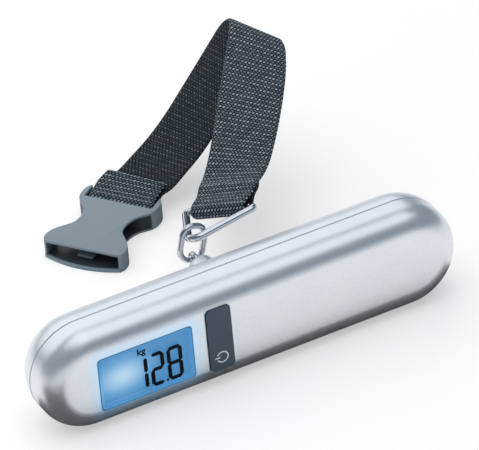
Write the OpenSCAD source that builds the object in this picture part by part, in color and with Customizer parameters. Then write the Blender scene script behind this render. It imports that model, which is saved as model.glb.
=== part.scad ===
// Digital luggage scale: a bar-shaped body with a display and a rocker button,
// a swivelling eye on a load cell at the middle of its back, a chain of a link
// and a delta ring, and a webbing strap with a side-release buckle.
// Frame: the origin is the middle of the flat band that the body stands on,
// +X runs along the body to the right, +Y to the back and +Z up. Millimetres.

/* [Body] */
// Length of the body
body_l = 160; // [150:1:190]
// Height of the body, standing on its long edge
body_h = 38.4; // [37:0.1:46]
// Depth of the body, front face to back
body_d = 28.8; // [28:0.1:35]
// Radius of the front edge
front_r = 8.3; // [6:0.1:8.6]
// Radius of the back edge
back_r = 15.6; // [13:0.1:16]
// Wall of both shells
wall = 2.2; // [1.8:0.1:2.6]
// Front face to the joint between the shells
seam_in = 13; // [12:0.1:14]
// Width and depth of the groove round the joint
groove = 0.5; // [0.3:0.1:0.8]

/* [Display] */
// Width of the window
window_w = 36; // [30:0.5:38]
// Height of the window
window_h = 21.3; // [18:0.1:22]
// Thickness of the window
window_t = 1.2; // [0.8:0.1:1.4]
// Middle of the window, from the middle of the body
window_x = -42.4; // [-45:0.1:-42]
// How far the window's middle lies below the body's
window_drop = 0.8; // [0:0.1:1]
// Ledge that the window sits on
window_ledge = 1.2; // [0.8:0.1:1.6]
// Thickness of the display cell
lcd_t = 2.2; // [1.6:0.1:2.4]
// Thickness of the light guide
guide_t = 2; // [1.4:0.1:2.2]
// Wall of the frame round the display cell
lcd_frame_w = 1.6; // [1.2:0.1:2]
// Height of one numeral on the display
numeral_h = 12.4; // [9:0.1:14]

/* [Button] */
// Width of the rocker button
button_w = 9.6; // [8:0.1:11]
// Height of the rocker button
button_h = 25.1; // [22:0.1:26]
// Middle of the button, from the middle of the body
button_x = -14.4; // [-16:0.1:-13]
// How far the button stands proud of the front face
button_proud = 0.9; // [0.4:0.1:1.4]
// Gap round the button
button_gap = 0.25; // [0.2:0.05:0.4]
// Diameter of the rocker's pivots
pivot_d = 2; // [1.6:0.1:2.4]
// Middle of the button to the middle of each switch
switch_out = 8; // [7:0.1:9]
// Side of one switch
switch_w = 6; // [5:0.1:6.4]
// Diameter of a switch plunger
plunger_d = 3.4; // [2.4:0.1:3.6]

/* [Board] */
// Thickness of the circuit board
board_t = 1.2; // [0.8:0.1:1.6]
// Height of the circuit board
board_h = 27; // [26:0.1:28]
// Left edge of the board, from the middle of the body
board_x0 = -67; // [-68:0.1:-66]
// Right edge of the board, from the middle of the body
board_x1 = -4; // [-6:0.1:-4]

/* [Load cell] */
// Length of the beam
cell_l = 52; // [46:0.5:56]
// Height of the beam
cell_h = 11; // [9:0.1:12]
// Thickness of the beam, front to back
cell_t = 8; // [7:0.1:8.5]
// Gap between the beam and the board
cell_gap = 6.2; // [5.8:0.1:6.6]
// Diameter of the eye's shank
shank_d = 4; // [3.5:0.1:4.5]
// Thickness of the nut on the shank
nut_t = 3.2; // [2.6:0.1:3.4]
// Diameter of the beam's two screws
cell_screw_d = 3; // [2.5:0.1:3.5]

/* [Batteries] */
// Diameter of one cell
battery_d = 10.5; // [10:0.1:11]
// Length of one cell
battery_l = 44.5; // [42:0.5:46]
// Left end of the cells, from the middle of the body
battery_x = 15; // [14.5:0.1:16]
// Half height of the battery door
door_half = 12; // [11.8:0.1:12.4]
// Left edge of the battery door, from the middle of the body
door_x = 12; // [11:0.1:13]
// Gap round the battery door
door_gap = 0.15; // [0.1:0.05:0.25]

/* [Hook] */
// Diameter of the collar on the back
collar_d = 9.8; // [9:0.1:11]
// How far the collar stands out of the back
collar_out = 13.2; // [12:0.1:15]
// Wire of the eye
eye_wire = 1.8; // [1.6:0.1:2]
// Radius of the eye, to the middle of its wire
eye_r = 2.4; // [2.3:0.1:2.8]
// Wire of the link
link_wire = 2.1; // [1.8:0.1:2.2]
// Width of the link, to the middle of its wire
link_w = 9; // [8.8:0.1:10]
// Length of the link, to the middle of its wire
link_l = 12.4; // [12:0.1:14]
// Wire of the ring
ring_wire = 2.7; // [2.4:0.1:3]
// Side of the ring that carries the strap, corner to corner
ring_base = 30.5; // [29:0.1:32]
// Height of the ring, from that side to the opposite corner
ring_h = 23.5; // [22:0.1:26]

/* [Strap] */
// Width of the webbing
web_w = 24.7; // [23:0.1:25]
// Thickness of the webbing
web_t = 1.3; // [1:0.1:1.5]
// Gap between the webbing and the bar that it goes round
web_gap = 0.3; // [0.2:0.05:0.4]
// Diameter of the buckle's webbing bars
bar_d = 2.5; // [2:0.1:3]

/* [Buckle] */
// Width of both halves
buckle_w = 31.4; // [30:0.1:32]
// Length of the socket half
socket_l = 36; // [35:0.5:38]
// Thickness of both halves
buckle_t = 7.2; // [7:0.1:8]
// Depth of the socket's mouth
mouth_l = 24; // [22:0.5:24]
// Width of the socket's mouth
mouth_w = 28; // [26:0.1:28.4]
// Height of the socket's mouth
mouth_h = 4.2; // [4.1:0.1:4.6]
// Half of the socket's width at its waist
waist = 8.7; // [8:0.1:10]
// Radius of the hollows that make the waist
waist_r = 11; // [10:0.1:12]
// Reach of the socket's lower lip past its mouth
lip = 2.8; // [1:0.1:3]

/* [Hidden] */
$fn = 48;
// A sliver that carries a cut through a face
cut = 1;
silver = "silver";
steel = "gainsboro";
plastic = "slategray";

// Body: the front face, the joint and the middle of the height
band = body_d - front_r - back_r;
front_y = -front_r - band / 2;
back_y = front_y + body_d;
seam_y = front_y + seam_in;
mid_z = body_h / 2;
end_x = body_l / 2 - mid_z;
inner_y = front_y + wall;
window_z = mid_z - window_drop;
// Rounding of the window's corners
window_r = 1.5;
lcd_w = window_w - 0.4;
lcd_h = window_h - 1.2;

// Stack behind the window
board_y = inner_y + lcd_t + guide_t + 0.2;
board_back = board_y + board_t;
cell_y = board_back + cell_gap;
cell_back = cell_y + cell_t;
// The beam's ends, its screws, and the two hollows that its gauges lie over
cell_x1 = 6;
cell_x0 = cell_x1 - cell_l;
cell_pad_l = 18;
CELL_SCREWS = [cell_x0 + 4.5, cell_x0 + 13];
GAUGE_X = [-23, -12];

// The reading, the places of its numerals and of its point, and the ink's depth
READING = [1, 2, 8];
NUMERAL_X = [-3.6, 4.1, 11.2];
point_x = 7.6;
point_r = 0.6;
ink_t = 0.12;
// The seven bars, as middle x, middle height and turn, for a numeral of height
// 2, and the bars that each of the ten numerals lights
SEGMENTS = [[0, 1, 0], [0.5, 0.5, 90], [0.5, -0.5, 90], [0, -1, 0], [-0.5, -0.5, 90],
    [-0.5, 0.5, 90], [0, 0, 0]];
LIT = [[0, 1, 2, 3, 4, 5], [1, 2], [0, 1, 6, 4, 3], [0, 1, 6, 2, 3], [5, 6, 1, 2], [0, 5, 6, 2, 3],
    [0, 5, 6, 2, 3, 4], [0, 1, 2], [0, 1, 2, 3, 4, 5, 6], [0, 1, 2, 3, 5, 6]];

// Rocker: its axis, and the switches that it presses
switch_h = 3.5;
plunger_h = 0.8;
plunger_y = board_y - switch_h - plunger_h;
pivot_y = inner_y + 1.4;
button_z = mid_z + 0.5;
cap_y = front_y - button_proud;
// The cap's inner face, and the nubs that reach from it to the plungers
nub_y = inner_y - 0.6;
nub_d = 2.4;
// The mark near the button's lower end: its radius, its line's width and its depth
mark_r = 2.3;
mark_w = 0.5;
mark_in = 0.2;

// Batteries: two cells side by side in a tray
battery_out = battery_d / 2 + 0.35;
battery_y = 5;
tray_wall = 1.2;
tray_x0 = battery_x - 2 - tray_wall;
tray_x1 = battery_x + battery_l + 3.4 + tray_wall;
tray_floor = battery_y - battery_d / 2 - tray_wall - 0.1;
// The door's grip slots, and the rails under its edges that hold it in
grip_in = 0.5;
grip_half = 6;
rail_x0 = 20;
rail_x1 = 46;

// Screws, as x and height above the middle
case_screw_d = 2.2;
CASE_SCREWS = [[-71, 0], [7, 12], [7, -12]];
board_screw_d = 1.8;
board_post_x = board_x0 + 2.8;
BOARD_SCREWS = [[board_post_x, 6.4], [board_post_x, -6.4], [board_x1 - 2.4, 10.6]];
post_r = 2.6;
board_post_r = 1.6;

// Hook: the collar's end, the eye, and the link's lower wire in it
collar_y = back_y + collar_out;
collar_y0 = back_y - wall - 0.8;
collar_r = collar_d / 2;
collar_round = 2;
link_y = collar_y + 3.8;
eye_y = link_y + (link_wire + eye_wire) / 2 + 0.1 - eye_r;
washer_t = 0.8;
shank_y0 = cell_y - washer_t - nut_t - 0.5;
// The eye's turn about the collar. The link's turn, its lean from upright, and
// how far it hangs to one side in the eye
eye_turn = 0;
link_turn = 20;
link_lean = 10;
link_side = -1.6;

link_corner = link_w / 2 - 0.7;
// How far a wire's straight stretch laps into its bends, and is thinner than them
lap = 0.15;
hair = 0.02;

// Ring: the middle of its base side, its turn, and the rounding of its corners
RING_AT = [17.6, 46.6, 26.9];
RING_TURN = [-3, -19, -55.5];
ring_corner = 1.5;
ring_tip = 3.6;

// Buckle socket: the middle of its mouth on the ground, and its heading
SOCKET_AT = [-22, 79.5, 0];
SOCKET_TURN = [0, 0, 36.5];
socket_bar = socket_l - 3.15;
waist_x = 17.5;
// Width of the slots that the webbing passes through, and their bars' length
slot_w = web_w + 1.5;
slot_bar = slot_w + 0.4;
socket_floor = (buckle_t - mouth_h) / 2;
// Half of the lower lip's width, and the radius of its arc from side to side
lip_half = buckle_w / 2 - 1;
lip_r = (lip_half * lip_half + lip * lip) / (2 * lip);
bar_z = buckle_t / 2;
// The rib inside the mouth
rib_half = 3;
rib_h = 1.1;
// Buckle plug: its webbing bar, its turn, and the roots of its two arms
PLUG_AT = [35.6, 69, 24];
PLUG_TURN = [-49, -2.5, 54.5];
arm_root = 8.6;
arm_out = 10.4;
arm_root_d = 3;
plug_l = 14;
tongue_half = 3.4;
// The arm's length, width and height, and half the height of its root's recess
arm_l = 20;
arm_w = 2.2;
arm_h = 3.8;
recess_half = 2.1;

// Webbing: the middle of the strip, as x, y, z, then the heading and the rise
// of its width, from the ring over the loop and down to the socket
LOOP = [
    [27.4, 55.6, 31.4, -54, 16], [32, 59.6, 34, -56, 10], [38, 66, 38.4, -56, 5],
    [44, 73, 43, -56, 1], [49, 79, 46.8, -57, 0], [54, 85.4, 50.8, -59, 0],
    [57.6, 90.4, 53.8, -63, 0], [60, 94.6, 55.8, -66, 0], [61.2, 98.2, 55.8, -70, 1],
    [61.2, 101.4, 54, -73, 2], [60, 104.4, 50.8, -75, 3], [56.4, 107.2, 44, -78, 4],
    [50.6, 108.4, 35.8, -79, 4], [43.6, 108.2, 27.6, -77, 4], [37, 107, 21, -73, 4],
    [30, 105.6, 16, -70, 4], [21.6, 103.8, 12, -66, 4], [14.6, 102, 9.4, -62, 3],
    [9, 101.9, 7.4, -55, 1]];

// Unit vector along a width that heads one way and rises
function heading(turn, rise) = [cos(rise) * cos(turn), cos(rise) * sin(turn), sin(rise)];
function unit(v) = v / norm(v);
// A vector turned by the angles that rotate() takes
function turned_x(v, a) = [v.x, v.y * cos(a) - v.z * sin(a), v.y * sin(a) + v.z * cos(a)];
function turned_y(v, a) = [v.x * cos(a) + v.z * sin(a), v.y, v.z * cos(a) - v.x * sin(a)];
function turned_z(v, a) = [v.x * cos(a) - v.y * sin(a), v.x * sin(a) + v.y * cos(a), v.z];
function turned(v, t) = turned_z(turned_y(turned_x(v, t.x), t.y), t.z);

// Half of the body's cross-section: distance from the middle, then depth
module half_section(inset) {
    r = body_h / 2 - inset;
    f = front_r - inset;
    b = back_r - inset;
    d = body_d - 2 * inset;
    translate([0, f]) square([r, d - f - b]);
    square([r - f, f]);
    translate([r - f, f]) intersection() {
        circle(f);
        translate([0, -f]) square(f);
    }
    translate([0, d - b]) square([r - b, b]);
    translate([r - b, d - b]) intersection() {
        circle(b);
        square(b);
    }
}

// The body's whole shape, drawn in by an inset on every side
module bar(inset = 0) {
    translate([0, front_y + inset, mid_z]) {
        rotate([0, -90, 0]) linear_extrude(2 * end_x, center = true) {
            half_section(inset);
            mirror([1, 0]) half_section(inset);
        }
        for (side = [0, 1]) mirror([side, 0, 0]) translate([end_x, 0, 0])
            rotate([-90, 0, 0]) rotate([0, 0, -90]) rotate_extrude(angle = 180) half_section(inset);
    }
}

// A layer under the body's surface, between two insets
module layer(outer, inner) {
    difference() {
        bar(outer);
        bar(inner);
    }
}

// A box given by its two corners
module box(a, b) { translate(a) cube(b - a); }

// Everything between two depths
module between(y0, y1) {
    box([-body_l, y0, -cut], [body_l, y1, body_h + cut]);
}

module rounded(w, h, r) {
    square([w - 2 * r, h], center = true);
    square([w, h - 2 * r], center = true);
    for (x = [-1, 1], y = [-1, 1]) translate([x * (w / 2 - r), y * (h / 2 - r)]) circle(r);
}

// A plate with round corners that faces the front, starting at depth y
module plate(x, y, z, w, h, t, r) {
    translate([x, y, z]) rotate([90, 0, 0]) mirror([0, 0, 1]) linear_extrude(t) rounded(w, h, r);
}

// A cylinder that runs to the back, starting at depth y
module rod_y(x, y, z, d, l) { translate([x, y, z]) rotate([-90, 0, 0]) cylinder(d = d, h = l); }

module front_shell() {
    color(silver) difference() {
        union() {
            intersection() {
                layer(0, wall);
                between(front_y - cut, seam_y);
            }
            intersection() {
                bar(groove + 0.4);
                union() {
                    for (s = CASE_SCREWS)
                        rod_y(s.x, inner_y - 1, mid_z + s.y, 2 * post_r, seam_y - inner_y + 1);
                    for (s = BOARD_SCREWS)
                        rod_y(s.x, inner_y - 1, mid_z + s.y, 2 * board_post_r, board_y - inner_y + 1);
                    for (x = [battery_x + 9, battery_x + battery_l - 9])
                        box([x - 0.8, inner_y - 0.5, mid_z - 9], [x + 0.8, tray_floor, mid_z + 9]);
                    for (side = [-1, 1]) translate([button_x + side * (button_w / 2 + 1.5), 0, 0])
                        box([-0.7, inner_y - 0.5, button_z - 2.4], [0.7, pivot_y + 1.9, button_z + 2.4]);
                }
            }
        }
        plate(window_x, front_y - cut, window_z, window_w + 0.1, window_h + 0.1, window_t + cut, window_r);
        plate(window_x, front_y - cut, window_z, window_w - 2 * window_ledge, window_h - 2 * window_ledge,
            wall + 2 * cut, 0.8);
        plate(button_x, front_y - cut, button_z, button_w, button_h, wall + 2 * cut, 1.8);
        translate([button_x, pivot_y, button_z]) rotate([0, 90, 0])
            cylinder(d = pivot_d + 0.1, h = button_w + 8, center = true);
        for (s = CASE_SCREWS) rod_y(s.x, seam_y - 8, mid_z + s.y, case_screw_d, 8 + cut);
        for (s = BOARD_SCREWS) rod_y(s.x, board_y - 3.4, mid_z + s.y, board_screw_d, 3.4 + cut);
        difference() {
            between(seam_y - groove / 2, seam_y + cut);
            bar(groove);
        }
    }
}

module back_shell() {
    color(silver) difference() {
        union() {
            intersection() {
                layer(0, wall);
                between(seam_y, back_y + cut);
            }
            // The lip that the front shell closes over
            intersection() {
                layer(wall + 0.1, wall + 1.1);
                between(seam_y - 1.6, seam_y + 2);
            }
            intersection() {
                layer(wall - 0.3, wall + 1.1);
                between(seam_y + 0.4, seam_y + 2);
            }
            intersection() {
                bar(groove + 0.4);
                union() {
                    for (s = CASE_SCREWS)
                        rod_y(s.x, seam_y, mid_z + s.y, 2 * post_r, back_y - seam_y);
                    box([cell_x0, cell_back, mid_z - cell_h / 2],
                        [cell_x0 + cell_pad_l, back_y, mid_z + cell_h / 2]);
                }
            }
        }
        rod_y(0, seam_y, mid_z, collar_d + 0.1, body_d);
        for (s = CASE_SCREWS) {
            rod_y(s.x, seam_y - cut, mid_z + s.y, case_screw_d + 0.4, body_d);
            rod_y(s.x, seam_y + 4, mid_z + s.y, 2 * case_screw_d, body_d);
        }
        for (x = CELL_SCREWS) rod_y(x, cell_back - cut, mid_z, cell_screw_d, 5.4 + cut);
        difference() {
            between(seam_y - cut, seam_y + groove / 2);
            bar(groove);
        }
        difference() {
            box([door_x - door_gap, seam_y, mid_z - door_half - door_gap],
                [body_l, back_y + cut, mid_z + door_half + door_gap]);
            bar(wall + 0.1);
        }
    }
}

// The cover over the batteries, which slides to the right and lifts off
module battery_door() {
    color(silver) {
        difference() {
            intersection() {
                layer(0, wall);
                box([door_x, seam_y + groove / 2, mid_z - door_half],
                    [body_l, back_y + cut, mid_z + door_half]);
            }
            for (i = [0:4]) translate([door_x + 5 + 2.4 * i, back_y - grip_in, mid_z - grip_half])
                cube([1.2, grip_in + cut, 2 * grip_half]);
        }
        for (side = [0, 1]) translate([0, 0, mid_z]) mirror([0, 0, side]) translate([0, 0, -mid_z]) {
            intersection() {
                layer(wall + 0.2, wall + 1.3);
                box([rail_x0, seam_y, mid_z + door_half - 1.4], [rail_x1, back_y, mid_z + door_half + 1.4]);
            }
            intersection() {
                layer(wall - 0.2, wall + 1.3);
                box([rail_x0, seam_y, mid_z + door_half - 1.4], [rail_x1, back_y, mid_z + door_half]);
            }
        }
    }
}

module display_window() {
    color("deepskyblue")
        plate(window_x, front_y, window_z, window_w, window_h, window_t, window_r);
}

// The frame that holds the display cell and the light guide against the shell
module lcd_frame() {
    color("white") difference() {
        intersection() {
            plate(window_x, inner_y, window_z, lcd_w + 0.2 + 2 * lcd_frame_w, lcd_h + 0.2 + 2 * lcd_frame_w,
                board_y - inner_y, 1);
            bar(wall + 0.05);
        }
        plate(window_x, inner_y - cut, window_z, lcd_w + 0.1, lcd_h + 0.1,
            board_y - inner_y + 2 * cut, 0.1);
    }
}

module lcd_panel() {
    color("lightskyblue") plate(window_x, inner_y, window_z, lcd_w, lcd_h, lcd_t, 0.1);
}

module light_guide() {
    color("aliceblue") plate(window_x, inner_y + lcd_t, window_z, lcd_w, lcd_h - 1.8, guide_t, 0.1);
}

// The rubber strips that join the display cell to the board
module lcd_connector() {
    color("gray") for (side = [-1, 1])
        translate([window_x, 0, window_z + side * (lcd_h / 2 - 0.4)])
            box([-lcd_w / 2 + 2, inner_y + lcd_t, -0.4], [lcd_w / 2 - 2, board_y, 0.4]);
}

// One bar of a numeral: a flat six-sided stroke that lies along X
module stroke(l, w) {
    polygon([[-l / 2, 0], [-l / 2 + w / 2, w / 2], [l / 2 - w / 2, w / 2], [l / 2, 0],
        [l / 2 - w / 2, -w / 2], [-l / 2 + w / 2, -w / 2]]);
}

module numeral(value, h) {
    for (i = LIT[value]) {
        s = SEGMENTS[i];
        translate([s.x * h / 2, s.y * h / 2]) rotate(s.z) stroke(h / 2 - 0.3, h / 9);
    }
}

// The reading: three numerals and a point
module lcd_numerals() {
    color("midnightblue") translate([window_x, inner_y, window_z]) rotate([90, 0, 0])
        linear_extrude(ink_t) {
            for (i = [0:2]) translate([NUMERAL_X[i], 0]) numeral(READING[i], numeral_h);
            translate([point_x, -numeral_h / 2]) circle(point_r);
        }
}

module circuit_board() {
    color("darkgreen") difference() {
        box([board_x0, board_y, mid_z - board_h / 2], [board_x1, board_back, mid_z + board_h / 2]);
        for (s = BOARD_SCREWS)
            rod_y(s.x, board_y - cut, mid_z + s.y, board_screw_d + 0.3, board_t + 2 * cut);
    }
}

module board_chips() {
    color("black") {
        box([-46, board_back, mid_z - 5], [-36, board_back + 1.4, mid_z + 5]);
        box([-28, board_back, mid_z + 3], [-23, board_back + 1.2, mid_z + 7]);
        box([-28, board_back, mid_z - 8], [-22, board_back + 1.2, mid_z - 4]);
        for (i = [0:3]) translate([-19 + 3 * i, board_back, mid_z - 3.4]) cube([1.6, 0.8, 1]);
    }
}

// A screw with a round head at depth y; its thread is drawn plain
module screw(x, y, z, d, l, toward = 1) {
    translate([x, y, z]) rotate([-90 * toward, 0, 0]) {
        cylinder(d = d, h = l);
        translate([0, 0, -0.6 * d]) difference() {
            cylinder(d = 1.9 * d, h = 0.6 * d);
            for (a = [0, 90]) rotate(a) translate([-0.6 * d, -0.15 * d, -cut])
                cube([1.2 * d, 0.3 * d, cut + 0.3 * d]);
        }
    }
}

module board_screws() {
    color(steel) for (s = BOARD_SCREWS) screw(s.x, board_back, mid_z + s.y, board_screw_d, board_t + 3, -1);
}

module switch_bodies() {
    color("black") for (side = [-1, 1]) difference() {
        box([button_x - switch_w / 2, board_y - switch_h, button_z + side * switch_out - switch_w / 2],
            [button_x + switch_w / 2, board_y, button_z + side * switch_out + switch_w / 2]);
        rod_y(button_x, board_y - switch_h - cut, button_z + side * switch_out, plunger_d + 0.1, 1.6 + cut);
    }
}

module plunger(side) {
    color("tan") rod_y(button_x, plunger_y, button_z + side * switch_out, plunger_d, plunger_h + 1);
}
module plunger_upper() { plunger(1); }
module plunger_lower() { plunger(-1); }

// The rocker: a cap, a nub over each switch, and a web with the pivots
module rocker_button() {
    color("darkslategray") difference() {
        union() {
            plate(button_x, cap_y, button_z, button_w - 2 * button_gap, button_h - 2 * button_gap,
                nub_y - 0.6 - cap_y, 1.6);
            for (z = [button_z - switch_out, button_z + switch_out])
                rod_y(button_x, nub_y - 0.8, z, nub_d, plunger_y - 0.02 - nub_y + 0.8);
            box([button_x - button_w / 2 + 0.6, nub_y - 1, button_z - 1.4],
                [button_x + button_w / 2 - 0.6, pivot_y + 1.2, button_z + 1.4]);
            translate([button_x, pivot_y, button_z]) rotate([0, 90, 0])
                cylinder(d = pivot_d, h = button_w + 4.2, center = true);
        }
        rotate_mark() mark_shape(0.3);
    }
}
// A ring with a bar at its top, sunk in the lower end of the button
module mark_shape(extra) {
    linear_extrude(mark_in + extra) {
        difference() {
            circle(mark_r);
            circle(mark_r - mark_w);
            translate([-0.9, 0]) square([1.8, 3]);
        }
        translate([-mark_w / 2, 0.9]) square([mark_w, 2]);
    }
}
module rotate_mark() {
    translate([button_x, cap_y + mark_in, button_z - button_h / 2 + 5.2]) rotate([90, 0, 0])
        rotate(90) children();
}
module button_mark() { color("white") rotate_mark() mark_shape(0); }

// The aluminium beam: fixed at its left end, loaded at its right end
module load_cell() {
    color("lightgray") difference() {
        box([cell_x0, cell_y, mid_z - cell_h / 2], [cell_x1, cell_back, mid_z + cell_h / 2]);
        for (x = GAUGE_X) translate([x, cell_y + cell_t / 2, mid_z - cell_h / 2 - cut])
            cylinder(d = cell_t - 2, h = cell_h + 2 * cut);
        box([GAUGE_X[0], cell_y + cell_t / 2 - 1.2, mid_z - cell_h],
            [GAUGE_X[1], cell_y + cell_t / 2 + 1.2, mid_z + cell_h]);
        rod_y(0, cell_y - cut, mid_z, shank_d + 0.1, cell_t + 2 * cut);
        for (x = CELL_SCREWS) rod_y(x, cell_y - cut, mid_z, cell_screw_d + 0.3, cell_t + 2 * cut);
    }
}
module strain_gauges() {
    color("goldenrod") for (x = GAUGE_X, y = [cell_y - 0.15, cell_back])
        box([x - 2.6, y, mid_z - 1.8], [x + 2.6, y + 0.15, mid_z + 1.8]);
}

module load_cell_screws() {
    color(steel) for (x = CELL_SCREWS) screw(x, cell_y, mid_z, cell_screw_d, cell_t + 5);
}

// A tube with closed ends through rings of points, all of the same number
module skin(rings) {
    n = len(rings);
    m = len(rings[0]);
    sides = [for (i = [0:n - 2], k = [0:m - 1]) let (a = m * i + k, b = m * i + (k + 1) % m)
        each [[a, a + m, b], [b, a + m, b + m]]];
    last = m * (n - 1);
    ends = [for (k = [1:m - 2]) each [[0, k, k + 1], [last, last + k + 1, last + k]]];
    polyhedron([for (r = rings) each r], concat(sides, ends));
}

// The way a route of points runs at one of them
function along(route, i) = unit(route[min(i + 1, len(route) - 1)] - route[max(i - 1, 0)]);

// A wire along a route that stays at one height
module wire(route, d) {
    skin([for (i = [0:len(route) - 1]) let (t = along(route, i), side = cross(t, [0, 0, 1]))
        [for (a = [0:45:315]) route[i] + d / 2 * (cos(a) * side + sin(a) * [0, 0, 1])]]);
}

module gauge_wires() {
    for (i = [0:3]) color(["red", "white", "green", "black"][i]) translate([0, 0, 1.2 * i - 1.8]) wire([
        [GAUGE_X[0] - 2.6, cell_y - 0.6, mid_z], [GAUGE_X[0] - 6, cell_y - 2, mid_z],
        [GAUGE_X[0] - 6, board_back + 0.02, mid_z]], 0.9);
}

module eye_nut() {
    color(steel) difference() {
        translate([0, cell_y - washer_t - 0.1 - nut_t, mid_z]) rotate([-90, 0, 0])
            cylinder(d = 8, h = nut_t, $fn = 6);
        rod_y(0, shank_y0 - cut, mid_z, shank_d + 0.02, nut_t + 3 * cut);
    }
}

module eye_washer() {
    color(steel) difference() {
        rod_y(0, cell_y - washer_t, mid_z, 9, washer_t);
        rod_y(0, shank_y0, mid_z, shank_d + 0.2, nut_t + 3 * cut);
    }
}

// The collar on the back that the eye's shank turns in
module hook_collar() {
    color(silver) difference() {
        union() {
            intersection() {
                rod_y(0, back_y - wall - 1.5, mid_z, collar_d + 4, 1.5);
                bar(wall + 0.05);
            }
            translate([0, 0, mid_z]) rotate([-90, 0, 0]) rotate_extrude() {
                translate([0, collar_y0]) square([collar_r, collar_y - collar_round - collar_y0]);
                translate([0, collar_y - collar_round - 0.5])
                    square([collar_r - collar_round, collar_round + 0.5]);
                translate([collar_r - collar_round, collar_y - collar_round]) intersection() {
                    circle(collar_round);
                    square(collar_round);
                }
            }
        }
        rod_y(0, 0, mid_z, shank_d + 0.1, 2 * collar_y);
    }
}
module eye() {
    color(steel) {
        rod_y(0, shank_y0, mid_z, shank_d, collar_y + 0.7 - shank_y0);
        translate([0, eye_y, mid_z]) rotate([0, 90 + eye_turn, 0]) rotate_extrude()
            translate([eye_r, 0]) circle(d = eye_wire);
    }
}

module battery_tray() {
    color("black") difference() {
        box([tray_x0, tray_floor, mid_z - battery_out - battery_d / 2 - tray_wall],
            [tray_x1, battery_y + 1, mid_z + battery_out + battery_d / 2 + tray_wall]);
        for (side = [-1, 1]) translate([battery_x - 2, battery_y, mid_z + side * battery_out]) {
            rotate([0, 90, 0]) cylinder(d = battery_d + 0.1, h = battery_l + 5.4);
            translate([0, 0, -battery_d / 2 - 0.05]) cube([battery_l + 5.4, battery_d, battery_d + 0.1]);
        }
    }
}

// One cell, with its raised end to the right or to the left
module battery(side) {
    translate([battery_x + battery_l / 2, battery_y, mid_z + side * battery_out]) rotate([0, 90 * side, 0]) {
        color("peru") translate([0, 0, -battery_l / 2]) cylinder(d = battery_d, h = battery_l - 1.2);
        color(steel) translate([0, 0, battery_l / 2 - 1.3]) cylinder(d = 3.8, h = 1.3);
    }
}
module battery_upper() { battery(1); }
module battery_lower() { battery(-1); }

// A flat contact at each raised end and a stack of rings at each flat end
module battery_contacts() {
    color(steel) for (side = [-1, 1]) translate([battery_x + battery_l / 2, battery_y, mid_z])
        translate([0, 0, side * battery_out]) rotate([0, 90 * side, 0]) {
            gap_plus = side > 0 ? 3.4 : 2;
            gap_minus = side > 0 ? 2 : 3.4;
            translate([-3.5, -3.5, battery_l / 2 + 0.02]) cube([7, 7, gap_plus - 0.02]);
            translate([0, 0, -battery_l / 2 - gap_minus]) cylinder(d1 = 7, d2 = 4, h = gap_minus - 0.02);
        }
}

module battery_wires() {
    for (i = [0, 1]) color(["red", "black"][i]) translate([0, 0, mid_z - 6.6 - 1.6 * i]) wire([
        [tray_x0 - 0.02, 3, 0], [tray_x0 - 2, 3, 0], [4, board_back + 2.6, 0],
        [board_x1 - 3, board_back + 2, 0], [board_x1 - 4, board_back + 1.4, 0],
        [board_x1 - 4, board_back + 0.02, 0]], 1.2);
}

module case_screws() {
    color(steel) for (s = CASE_SCREWS) screw(s.x, seam_y + 4, mid_z + s.y, case_screw_d, 11, -1);
}

// A closed loop of wire in the XY plane with a rounded corner at each point. Its
// straight stretches are a hair thinner than its bends, and lap into them
module wire_loop(points, radii, d) {
    n = len(points);
    u = [for (i = [0:n - 1]) unit(points[(i + 1) % n] - points[i])];
    turn = [for (i = [0:n - 1]) let (a = u[(i + n - 1) % n], b = u[i]) atan2(cross(a, b), a * b)];
    trim = [for (i = [0:n - 1]) radii[i] * tan(turn[i] / 2)];
    for (i = [0:n - 1]) {
        j = (i + 1) % n;
        from = points[i] + u[i] * (trim[i] - lap);
        translate(from) rotate([0, 90, atan2(u[i].y, u[i].x)])
            cylinder(d = d - hair, h = norm(points[j] - points[i]) - trim[i] - trim[j] + 2 * lap);
        back = u[(i + n - 1) % n];
        centre = points[i] - back * trim[i] + [-back.y, back.x] * radii[i];
        translate(centre) rotate(atan2(back.y, back.x) - 90) rotate_extrude(angle = turn[i])
            translate([radii[i], 0]) circle(d = d);
    }
}

module place_link() {
    translate([0, link_y, mid_z]) rotate([90 - link_lean, link_turn, 0])
        translate([link_side, 0, 0]) children();
}
module chain_link() {
    color(steel) place_link() wire_loop(
        [[-link_w / 2, 0], [link_w / 2, 0], [link_w / 2, link_l], [-link_w / 2, link_l]],
        [link_corner, link_corner, link_corner, link_corner], link_wire);
}

module delta_ring() {
    color(steel) translate(RING_AT) rotate(RING_TURN) wire_loop(
        [[0, -ring_h], [ring_base / 2, 0], [-ring_base / 2, 0]],
        [ring_tip, ring_corner, ring_corner], ring_wire);
}

// A turn of webbing round a bar, from one side (e1) by way of the other (e2),
// as middle points with the width w
function wrap(at, r, e1, e2, w, turn = 180) =
    [for (a = [0:30:turn]) [at + r * (cos(a) * e1 + sin(a) * e2), w]];
function ride(at, along, off, w) = [at + along + off, w];
// A place between two others on the strip, a share k of the way along
function between_two(a, b, k) = [(1 - k) * a[0] + k * b[0], unit((1 - k) * a[1] + k * b[1])];

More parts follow.
